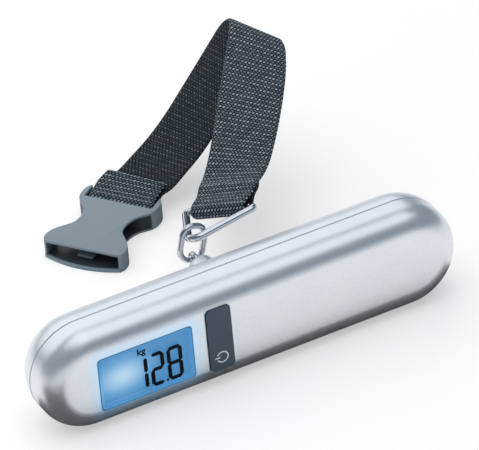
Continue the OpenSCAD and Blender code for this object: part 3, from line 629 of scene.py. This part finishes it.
def smooth_places(places, pitch):
    """A smooth curve through the places, cut into even steps, and its length."""
    fine = []
    for i in range(len(places) - 1):
        p = [places[min(max(i + k, 0), len(places) - 1)] for k in (-1, 0, 1, 2)]
        chord = (p[2][0] - p[1][0]).length
        for cut in range(CUTS):
            t = cut / CUTS
            pair = []
            for part in (0, 1):
                a, b, c, d = (q[part] for q in p)
                before = max((p[1][0] - p[0][0]).length, 1e-6)
                after = max((p[3][0] - p[2][0]).length, 1e-6)
                slope_b = ((b - a) / before + (c - b) / chord) / 2 * chord if i else (c - b)
                last = i == len(places) - 2
                slope_c = (c - b) if last else ((c - b) / chord + (d - c) / after) / 2 * chord
                pair.append(b * (2 * t**3 - 3 * t**2 + 1) + slope_b * (t**3 - 2 * t**2 + t)
                            + c * (3 * t**2 - 2 * t**3) + slope_c * (t**3 - t**2))
            fine.append(tuple(pair))
    fine.append(places[-1])
    run = [0.0]
    for a, b in zip(fine, fine[1:]):
        run.append(run[-1] + (b[0] - a[0]).length)
    count = round(run[-1] / pitch)
    even = []
    j = 0
    for i in range(count + 1):
        want = run[-1] * i / count
        while j < len(run) - 2 and run[j + 1] < want:
            j += 1
        share = (want - run[j]) / max(run[j + 1] - run[j], 1e-9)
        even.append((fine[j][0].lerp(fine[j + 1][0], share), fine[j][1].lerp(fine[j + 1][1], share)))
    return even, run[-1]


STEP = 0.8 * MM
strap_line, STRAP_LENGTH = smooth_places(strap_places(), STEP)
print("strap length", round(STRAP_LENGTH * 1000, 1), "mm in", len(strap_line), "steps")

# %% The strap's mesh
CORNER = [(-0.5, 0.0), (-0.488, -0.36), (-0.46, -0.5)]
LOWER = CORNER + [(k / 10, -0.5) for k in range(-4, 5)] + [(-x, y) for x, y in reversed(CORNER)]
SECTION = LOWER + [(x, -y) for x, y in LOWER[-2:0:-1]]
INNER_FACE = 1000


def strap_frame(i):
    """The middle, the width and the outward way at one step of the strap."""
    ahead = strap_line[min(i + 1, len(strap_line) - 1)][0]
    behind = strap_line[max(i - 1, 0)][0]
    middle, width = strap_line[i]
    return middle, width, (ahead - behind).normalized().cross(width).normalized()


def lay_strap():
    mesh = bmesh.new()
    weave = mesh.loops.layers.uv.new("weave")
    rows = []
    for i in range(len(strap_line)):
        middle, width, out = strap_frame(i)
        rows.append([mesh.verts.new(middle + width * WEB_W * u + out * WEB_T * v) for u, v in SECTION])
    sides = len(SECTION)
    for i in range(len(rows) - 1):
        for k in range(sides):
            after = (k + 1) % sides
            face = mesh.faces.new((rows[i][k], rows[i][after], rows[i + 1][after], rows[i + 1][k]))
            face.smooth = True
            ends = ((k, i), (k + 1, i), (k + 1, i + 1), (k, i + 1))
            inner = INNER_FACE if k >= sides / 2 else 0
            for loop, (section, step) in zip(face.loops, ends):
                u = SECTION[section % sides][0]
                loop[weave].uv = (u * WEB_W / MM, step * STEP / MM + inner)
    for row, way in ((rows[0], -1), (rows[-1], 1)):
        face = mesh.faces.new(row[::way])
        for loop in face.loops:
            loop[weave].uv = (0.0, 0.0)
    bmesh.ops.recalc_face_normals(mesh, faces=mesh.faces)
    data = bpy.data.meshes.new("strap_webbing")
    mesh.to_mesh(data)
    mesh.free()
    piece = bpy.data.objects.new("strap_webbing", data)
    scene.collection.objects.link(piece)
    return piece


strap = lay_strap()
print("strap faces:", len(strap.data.polygons))

# %% [markdown]
# ## The weave
# The weave is drawn from the strip's own map, in millimetres: u runs across
# and v runs along. Rows of yarn cross the strip, and each row shows as short
# slanted stitches. Neighbour rows slant opposite ways and are half a stitch
# apart. Each stitch's crown carries a painted highlight, weaker on every second
# row, and the hollows between stitches are painted darker as shade. The face on
# the inside of the loop has v raised by a thousand, and carries painted shade.

# %% The weave
ROW_PITCH = 0.95
STITCH_PITCH = 1.45


def woven(name, dark, yarn, painted_highlight_colour):
    finish = Finish(name, roughness=0.7, specular_ior_level=0.2)
    uv = finish.node("ShaderNodeUVMap", {"uv_map": "weave"})
    split = finish.node("ShaderNodeSeparateXYZ", {}, {0: uv.outputs[0]})
    u, v = Level(finish, split.outputs[0]), Level(finish, split.outputs[1])
    inside = finish.step(v, INNER_FACE - 100, INNER_FACE - 50)
    along = v / ROW_PITCH
    row = finish.maths("FLOOR", along)
    low_row = finish.maths("MODULO", row, 2.0)
    in_row = along - row - 0.5
    across = u / STITCH_PITCH + low_row * 0.5 + (low_row * 2 - 1) * in_row * 0.45
    stitch = finish.maths("FLOOR", across)
    in_stitch = across - stitch - 0.5
    height = finish.step(1 - (in_row * in_row * 2.6 + in_stitch * in_stitch * 4.6), 0.05, 0.95)
    cell = finish.node("ShaderNodeCombineXYZ", {}, {0: row, 1: stitch, 2: 0.0})
    chance = finish.node("ShaderNodeTexWhiteNoise", {"noise_dimensions": "3D"},
                         {"Vector": cell.outputs[0]})
    luck = Level(finish, chance.outputs["Value"])
    # Painted highlight on each stitch's crown, weaker on every second row; between the stitches the
    # dark colour is mixed in as painted shade.
    painted_highlight_mask = finish.step(height, 0.2, 0.9) * (0.4 + luck * 0.6) * (1 - low_row * 0.6)
    tone = finish.mix(painted_highlight_mask, finish.mix(height, dark, yarn), painted_highlight_colour)
    # Painted shade on the loop's inside face.
    finish.set("Base Color", finish.mix(inside * 0.7, tone, dark))
    finish.set("Roughness", 0.75 - height * 0.2)
    fibre = finish.noise(2600, 2)
    finish.bump(height * 0.8 + fibre * 0.2, 0.8, 0.3 * MM)
    return finish


# The last colour is the painted highlight on the stitches' crowns.
WEBBING = woven("dark_webbing_painted_light", (0.005, 0.008, 0.012), (0.021, 0.033, 0.046), (0.33, 0.40, 0.445))
clothe(strap, WEBBING)
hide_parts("strap")
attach(strap, "webbing")

# %% [markdown]
# ## Stitching
# Two rows of stitches cross the strap above the ring, and two closer ones cross
# its sewn end near the socket. One short bead of thread is modelled, and each
# stitch is a copy with its own mesh, joined into one piece per row.

# %% Stitching
THREAD = moulded("grey_thread", (0.27, 0.31, 0.34), 0.6, 0.3, 3000, 0.05 * MM)
STITCH_THICK = 0.5 * MM
FOLD_ROWS = (13, 11)
RING_ROWS_APART = 13
SOCKET_STEPS = 30


def one_stitch(length):
    bpy.ops.mesh.primitive_uv_sphere_add(segments=10, ring_count=6, radius=0.5)
    stitch = bpy.context.object
    stitch.scale = (length, STITCH_THICK, STITCH_THICK)
    settle(stitch)
    bpy.ops.object.shade_smooth()
    return stitch


def stitch_row(name, step, face, count):
    """A row of stitches across the strap at one of its steps, on one face."""
    middle, width, out = strap_frame(step)
    out = out * face
    way = width.normalized()
    turn = Matrix((way, out.cross(way), out)).transposed().to_4x4()
    pattern = one_stitch(WEB_W / count * 0.65)
    lift = out * (WEB_T / 2 + 0.02 * MM)
    copies = []
    for k in range(count):
        share = (k - (count - 1) / 2) / count * 0.9
        copy = pattern.copy()
        copy.data = pattern.data.copy()
        scene.collection.objects.link(copy)
        copy.data.transform(Matrix.Translation(middle + way * WEB_W * share + lift) @ turn)
        copies.append(copy)
    bpy.data.objects.remove(pattern)
    pick(copies[0])
    for copy in copies:
        copy.select_set(True)
    bpy.ops.object.join()
    row = bpy.context.object
    row.name = name
    clothe(row, THREAD)
    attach(row, "webbing")
    return row


def step_near(place):
    """The step of the strap's loop that lies nearest a place."""
    loop = range(len(strap_line) // 4, len(strap_line) - SOCKET_STEPS)
    return min(loop, key=lambda i: (strap_line[i][0] - Vector(place)).length)


def strap_place_at(name):
    """Where the ray through a named point meets the strap."""
    mesh = bmesh.new()
    mesh.from_mesh(strap.data)
    tree = BVHTree.FromBMesh(mesh)
    start, way = ray_through(*POINTS[name])
    hit = tree.ray_cast(start, way)[0]
    if hit is None:
        hit = tree.find_nearest(start + way * (SOCKET_AT - start).dot(way))[0]
    mesh.free()
    return hit


ring_row_step = step_near(strap_place_at("stitch row"))
ring_row = stitch_row("stitches_by_ring", ring_row_step, -1, 16)
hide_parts("strap_stitching")
stitch_row("stitches_by_ring_2", ring_row_step - RING_ROWS_APART, -1, 16)
for i, back in enumerate(FOLD_ROWS):
    stitch_row(f"stitches_by_socket_{i + 1}", len(strap_line) - back, -1, 26)
print("ring row at step", ring_row_step)

# %% [markdown]
# ## The buckle socket
# The socket is one moulding. Seen from above it has a waist, and where the
# waist is narrower than the cavity the sides are open, so the plug's arms can
# spring out there. The lower lip bows forward past the mouth. A disc's rim is
# laid along the outline and drawn up to the buckle's thickness. One box cuts
# the mouth and one the slot for the webbing. Then every edge is rounded. The
# finish has painted shade inside the mouth, lighter over the rib.

# %% The buckle socket
BUCKLE_W = 31.4 * MM
SOCKET_L = 36 * MM
BUCKLE_T = 7.2 * MM
FLOOR_T = 1.5 * MM
MOUTH_L = 24 * MM
MOUTH_W = 28 * MM
MOUTH_LOW, MOUTH_HIGH = 1.0 * MM, BUCKLE_T - 0.9 * MM
LIP = 2.8 * MM
LIP_R = ((BUCKLE_W / 2 - MM) ** 2 + LIP**2) / (2 * LIP)
SLOT_W = WEB_W + 1.5 * MM
SLOT_FRONT = SOCKET_BAR - 3.6 * MM
RIB_FRONT, RIB_HALF, RIB_TOP = 2 * MM, 3 * MM, FLOOR_T + 1.1 * MM
OUTLINE = [(0, 5), (0, 9), (0, 13), (0.8, 15), (3.4, 15.6), (6.4, 14.9), (9.2, 13), (11.4, 11),
           (13.6, 9.4), (16.2, 8.8), (19, 8.9), (22, 9.9), (24.4, 11.6), (26.4, 13.6), (28.6, 14.7),
           (31.4, 15), (34, 14.6), (35.6, 13.6), (36, 12), (36, 6)]


def socket_outline():
    """The outline seen from above, smooth between its places, in metres."""
    half = [Vector((x, y)) * MM for x, y in OUTLINE]
    places = half + [Vector((p.x, -p.y)) for p in reversed(half)]
    smooth = []
    for i in range(len(places)):
        a, b, c, d = (places[(i + k) % len(places)] for k in (-1, 0, 1, 2))
        for t in (0, 0.25, 0.5, 0.75):
            smooth.append(b + ((c - a) * t + (2 * a - 5 * b + 4 * c - d) * t**2
                               + (3 * b - a - 3 * c + d) * t**3) / 2)
    return smooth


def make_socket():
    half = BUCKLE_W / 2
    outline = socket_outline()
    bpy.ops.mesh.primitive_circle_add(vertices=len(outline), radius=half, fill_type="NGON")
    body = bpy.context.object
    body.name = "buckle_socket_moulding"
    for vertex, place in zip(body.data.vertices, outline):
        vertex.co = (place.x, place.y, 0)
    bpy.ops.object.mode_set(mode="EDIT")
    bpy.ops.mesh.select_all(action="SELECT")
    bpy.ops.mesh.extrude_region_move(TRANSFORM_OT_translate={"value": (0, 0, BUCKLE_T)})
    bpy.ops.mesh.select_all(action="SELECT")
    bpy.ops.mesh.normals_make_consistent(inside=False)
    bpy.ops.object.mode_set(mode="OBJECT")
    lip = disc("lip", (LIP_R - LIP, 0, FLOOR_T / 2), LIP_R, FLOOR_T, sides=256)
    lip_end = block("lip_end", (-LIP - MM, -half + MM, -MM), (4 * MM, half - MM, 3 * MM))
    combine(lip, lip_end, "INTERSECT")
    combine(body, lip, "UNION")
    mouth = block("mouth", (-LIP - MM, -MOUTH_W / 2, MOUTH_LOW), (MOUTH_L, MOUTH_W / 2, MOUTH_HIGH))
    combine(body, mouth, "DIFFERENCE")
    slot = block("slot", (SLOT_FRONT, -SLOT_W / 2, -MM), (SOCKET_L + MM, SLOT_W / 2, BUCKLE_T + MM))
    combine(body, slot, "DIFFERENCE")
    rib = block("rib", (RIB_FRONT, -RIB_HALF, FLOOR_T - 0.2 * MM), (MOUTH_L, RIB_HALF, RIB_TOP))
    combine(body, rib, "UNION")
    bar = disc("bar", (SOCKET_BAR, 0, BAR_HEIGHT), BAR_D / 2, SLOT_W + 0.4 * MM,
               (math.pi / 2, 0, 0), 48)
    combine(body, bar, "UNION")
    soften(body, 0.55 * MM, 3)
    turn = Euler([math.radians(a) for a in SOCKET_TURN]).to_matrix().to_4x4()
    put(body, Matrix.Translation(SOCKET_AT) @ turn)
    return body


def buckle_plastic(name):
    return moulded(name, (0.228, 0.285, 0.320), 0.40, 0.10, 2200, 0.02 * MM)


def socket_plastic_painted_shade(name):
    """The buckle's plastic, with painted shade in the space between the mouth's walls."""
    finish = buckle_plastic(name)
    x, y, up = finish.place()
    x, y = x - SOCKET_AT.x, y - SOCKET_AT.y
    turn = math.radians(SOCKET_TURN[2])
    along = x * math.cos(turn) + y * math.sin(turn)
    side = y * math.cos(turn) - x * math.sin(turn)
    off_middle = finish.maths("ABSOLUTE", side)
    from_centre = along - (LIP_R - LIP)
    from_lip = finish.maths("SQRT", from_centre * from_centre + side * side)
    inside_rim = 1 - finish.step(from_lip, LIP_R - 1.3 * MM, LIP_R - 0.9 * MM)
    between_walls = 1 - finish.step(off_middle, MOUTH_W / 2 - 0.2 * MM, MOUTH_W / 2 + 0.1 * MM)
    above_floor = finish.step(up, MOUTH_LOW - 0.25 * MM, MOUTH_LOW - 0.05 * MM)
    under_roof = 1 - finish.step(up, MOUTH_HIGH, MOUTH_HIGH + 0.15 * MM)
    beside_rib = finish.step(off_middle, RIB_HALF + 0.1 * MM, RIB_HALF + 0.4 * MM)
    on_rib = (1 - beside_rib) * finish.step(up, FLOOR_T, FLOOR_T + 0.5 * MM)
    # Painted shade fills the mouth between its walls, lighter over the rib.
    painted_cavity_shade = inside_rim * between_walls * above_floor * under_roof * (1 - on_rib * 0.6)
    plain = finish.shader.inputs["Base Color"].links[0].from_socket
    finish.set("Base Color", finish.mix(painted_cavity_shade * 0.88, plain, (0.012, 0.016, 0.02)))
    return finish


BUCKLE_FINISH = buckle_plastic("buckle_moulding")
SOCKET_FINISH = socket_plastic_painted_shade("socket_moulding")
socket = make_socket()
clothe(socket, SOCKET_FINISH)
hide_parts("buckle_socket")
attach(socket, "socket")
print("socket faces:", len(socket.data.polygons))
wear(BUCKLE_FINISH, "buckle_plug", "latch_arm_left", "latch_arm_right")

# %% [markdown]
# ## The reading
# The display shows three numerals and a point, each numeral from up to seven
# flat strokes with pointed ends. They lie just behind the window, where the
# photograph shows them, and replace the CAD model's deeper ones. The unit is
# small fixed letters, made from a text object and turned into a mesh.

# %% The reading
INK_Y = WINDOW_HIGH.y + 0.06 * MM
INK_T = 0.06 * MM
STROKE_W = 1.45 * MM
HALF_H = 6.1 * MM
READING_Z = WINDOW_MIDDLE.z - 2.5 * MM
STROKES = {"a": (0, 1, 0), "b": (1, 0.5, 1), "c": (1, -0.5, 1), "d": (0, -1, 0),
           "e": (-1, -0.5, 1), "f": (-1, 0.5, 1), "g": (0, 0, 0)}
READING = [(-1.6, 1.8, "bc"), (4.6, 1.95, "abged"), (11.2, 2.2, "abcdefg")]
POINT_X, POINT_R = 7.9 * MM, 0.5 * MM
UNIT_SIZE, UNIT_SWELL = 3.6 * MM, 0.09 * MM


def lay_stroke(x, z, length, upright):
    """One flat stroke with pointed ends, level or upright."""
    far = Vector((length, INK_T, STROKE_W)) / 2
    stroke = block("stroke", -far, far)
    pick(stroke)
    bpy.ops.object.mode_set(mode="EDIT")
    mesh = bmesh.from_edit_mesh(stroke.data)
    for edge in mesh.edges:
        edge.select = abs(edge.verts[0].co.y - edge.verts[1].co.y) > INK_T / 2
    bmesh.update_edit_mesh(stroke.data)
    bpy.ops.mesh.bevel(offset=STROKE_W * 0.4, offset_type="OFFSET", segments=1)
    bpy.ops.object.mode_set(mode="OBJECT")
    turn = Matrix.Rotation(math.pi / 2 * upright, 4, "Y")
    put(stroke, Matrix.Translation((WINDOW_MIDDLE.x + x, INK_Y, READING_Z + z)) @ turn)
    return stroke


def lay_reading():
    strokes = []
    for middle, half_w, lit in READING:
        for name in lit:
            x, z, upright = STROKES[name]
            length = HALF_H - 0.3 * MM if upright else 2 * half_w * MM
            strokes.append(lay_stroke((middle + x * half_w) * MM, z * HALF_H, length, upright))
    strokes.append(disc("point", (WINDOW_MIDDLE.x + POINT_X, INK_Y, READING_Z - HALF_H), POINT_R,
                        INK_T, (math.pi / 2, 0, 0), 24))
    pick(strokes[0])
    for stroke in strokes:
        stroke.select_set(True)
    bpy.ops.object.join()
    reading = bpy.context.object
    reading.name = "display_reading"
    return reading


reading = lay_reading()
clothe(reading, INK)
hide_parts("lcd_numerals")
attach(reading, "scale_body")


def behind_window(name):
    """Where the ray through a named point meets the reading's plane."""
    start, way = ray_through(*POINTS[name])
    return start + way * ((INK_Y - start.y) / way.y)


bpy.ops.object.select_all(action="DESELECT")
bpy.ops.object.text_add()
unit_mark = bpy.context.object
unit_mark.name = "unit_mark"
unit_mark.data.body = "kg"
unit_mark.data.size = UNIT_SIZE
unit_mark.data.extrude = INK_T / 2
unit_mark.data.offset = UNIT_SWELL
unit_mark.data.align_x = "CENTER"
unit_mark.data.align_y = "CENTER"
bpy.ops.object.convert(target="MESH")
unit_mark = bpy.context.object
mark_place = behind_window("unit mark")
upright = Matrix.Rotation(math.pi / 2, 4, "X")
put(unit_mark, Matrix.Translation((mark_place.x, INK_Y, mark_place.z)) @ upright)
clothe(unit_mark, INK)
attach(unit_mark, "scale_body")

# %% [markdown]
# ## Floor and light
# The object lies on a white sheet, which the camera and mirrors see lifted to
# white, and which keeps the object's soft shadow. The key lamp and the left
# side's aren't mirrored. The other lamps are broad panels for the lacquer and the
# plating to mirror. A dim blue tent, which only mirrors show, hides the white
# world from them and gives the dark streak along the body. Dark cards on the
# sheet do the same for the body's lower edge and for the chain.

# %% Floor and light
bpy.ops.mesh.primitive_plane_add(size=6, location=(0, 0, 0))
floor = bpy.context.object
floor.name = "studio_floor"
floor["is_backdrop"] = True
SHEET = Finish("white_sheet", base_color=(0.93, 0.93, 0.93, 1), roughness=0.9)
SHEET.bump(SHEET.noise(40, 2), 0.02, 0.2 * MM)
floor.data.materials.append(SHEET.material)
sheet_seen = SHEET.seen_by("Is Camera Ray", "Is Glossy Ray", "Is Transmission Ray")
PAPER_LIGHT = SHEET.node("ShaderNodeEmission", {}, {"Color": (1, 1, 1, 1), "Strength": 1.35})
LIFTED = SHEET.node("ShaderNodeMixShader", {}, {
    0: sheet_seen * 0.34, 1: SHEET.shader.outputs[0], 2: PAPER_LIGHT.outputs[0]})
SHEET.fill(SHEET.output.inputs["Surface"], LIFTED.outputs[0])

SKY_BLUE, SKY_STRENGTH = (0.60, 0.80, 1.0, 1), 0.22
scene.world = bpy.data.worlds.new("studio")
WORLD = Nodes(scene.world, "ShaderNodeOutputWorld")
SKY_LIGHT, SKY_SEEN = (
    WORLD.node("ShaderNodeBackground", {}, {"Color": colour, "Strength": strength}).outputs[0]
    for colour, strength in ((SKY_BLUE, SKY_STRENGTH), ((1, 1, 1, 1), 1.0)))
world_seen = WORLD.seen_by("Is Camera Ray", "Is Transmission Ray", "Is Glossy Ray")
SKY = WORLD.node("ShaderNodeMixShader", {}, {0: world_seen, 1: SKY_LIGHT, 2: SKY_SEEN})
WORLD.fill(WORLD.output.inputs["Surface"], SKY.outputs[0])
LAMP_AIM = Vector((0.0, 0.04, 0.02))


def lamp(name, place, size, power, colour=(1, 1, 1), mirrored=True):
    """A rectangle of light that faces the object."""
    bpy.ops.object.light_add(type="AREA", location=place)
    light = bpy.context.object
    light.name = name
    light.data.shape = "RECTANGLE"
    light.data.size, light.data.size_y = size
    light.data.energy = power
    light.data.color = colour
    light.rotation_euler = (LAMP_AIM - Vector(place)).to_track_quat("-Z", "Y").to_euler()
    light.visible_glossy = mirrored


lamp("key", (-0.3, 0.2, 1.2), (1.9, 1.9), 9.5, (1, 0.97, 0.93), mirrored=False)
lamp("back_sky", (-0.1, 1.3, 0.95), (2.6, 1.3), 9.5)
lamp("overhead", (0.15, -0.15, 1.3), (1.3, 1.4), 5.4)
lamp("low_front", (-0.45, -1.5, 0.12), (2.6, 0.2), 1.3)
lamp("left_side", (-1.3, 0.1, 0.5), (0.9, 0.8), 1.8, mirrored=False)

CARD = Finish("card_black", base_color=(0.01, 0.01, 0.012, 1), roughness=1.0)
TENT = Finish("tent_blue", base_color=(0, 0, 0, 1), roughness=1.0,
              emission_color=SKY_BLUE, emission_strength=SKY_STRENGTH)
ON_SHEET = 0.3 * MM
TENT_R = 2.9


def mirrored_only(thing, finish):
    """Keeps a card or the tent out of the picture, the shadows and the light."""
    thing.data.materials.append(finish.material)
    thing.visible_camera = False
    thing.visible_diffuse = False
    thing.visible_shadow = False
    thing.visible_transmission = False
    thing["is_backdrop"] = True


def card(name, place, size, turn=0):
    """A dark card on the sheet, placed and sized in millimetres."""
    bpy.ops.mesh.primitive_plane_add(size=MM, location=(place[0] * MM, place[1] * MM, ON_SHEET),
                                     rotation=(0, 0, math.radians(turn)))
    plane = bpy.context.object
    plane.name = name
    plane.scale = (size[0], size[1], 1)
    settle(plane)
    mirrored_only(plane, CARD)


card("card_under_body", (-4, -4), (182, 34))
card("card_by_left_end", (-122, -30), (100, 60), -20)
card("card_by_chain", (18, 80), (90, 50))
bpy.ops.mesh.primitive_uv_sphere_add(segments=48, ring_count=24, radius=TENT_R)
tent = bpy.context.object
tent.name = "blue_tent"
mirrored_only(tent, TENT)

# %% [markdown]
# ## The image points
# For each named point, the place where its own thing shows is worked out,
# with its offset from the point. The camera and the CAD stay as they are, so a
# point moves if it is off. The edges come from the finished vertices, without
# the floor.

# %% Image points


def shown_extent(pieces):
    """The left, right, top and bottom of some pieces in the photograph's frame."""
    depsgraph = bpy.context.evaluated_depsgraph_get()
    xs, ys = [], []
    for piece in pieces:
        mesh = piece.evaluated_get(depsgraph).to_mesh()
        for vertex in mesh.vertices:
            x, y = image_of(piece.matrix_world @ vertex.co)
            xs.append(x)
            ys.append(y)
    return min(xs), max(xs), min(ys), max(ys)


def socket_point(x, y, z):
    return SOCKET_AT + turned((x, y, z), SOCKET_TURN)


left, right, top, bottom = shown_extent(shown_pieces())
front_y = WINDOW_LOW.y
cap_low, cap_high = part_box("rocker_button")
mark_low, mark_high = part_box("button_mark")
cap_middle = (mark_low[0] + mark_high[0]) / 2
found = {
    "left edge": (left, None),
    "right edge": (right, None),
    "top edge": (None, top),
    "bottom edge": (None, bottom),
    "window top left": image_of((WINDOW_LOW.x, front_y, WINDOW_HIGH.z)),
    "window top right": image_of((WINDOW_HIGH.x, front_y, WINDOW_HIGH.z)),
    "window bottom right": image_of((WINDOW_HIGH.x, front_y, WINDOW_LOW.z)),
    "window bottom left": image_of((WINDOW_LOW.x, front_y, WINDOW_LOW.z)),
    "button top": image_of((cap_middle, cap_low[1], cap_high[2])),
    "button bottom": image_of((cap_middle, cap_low[1], cap_low[2])),
    "unit mark": image_of(mark_place),
    "ring corner": image_of(RING_AT + turned((RING_BASE / 2, 0, 0), RING_TURN)),
    "collar top": (None, shown_extent([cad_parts["hook_collar"]])[2]),
    "buckle mouth left": image_of(socket_point(MM, BUCKLE_W / 2, BUCKLE_T)),
    "buckle mouth right": image_of(socket_point(MM, -BUCKLE_W / 2, BUCKLE_T)),
    "strap right edge": (shown_extent([strap])[1], None),
    "stitch row": image_of(strap_line[ring_row_step][0]),
}
for name, (x, y) in POINTS.items():
    fx, fy = found[name]
    None if x is None else round(fx - x, 1)
    None if y is None else round(fy - y, 1)
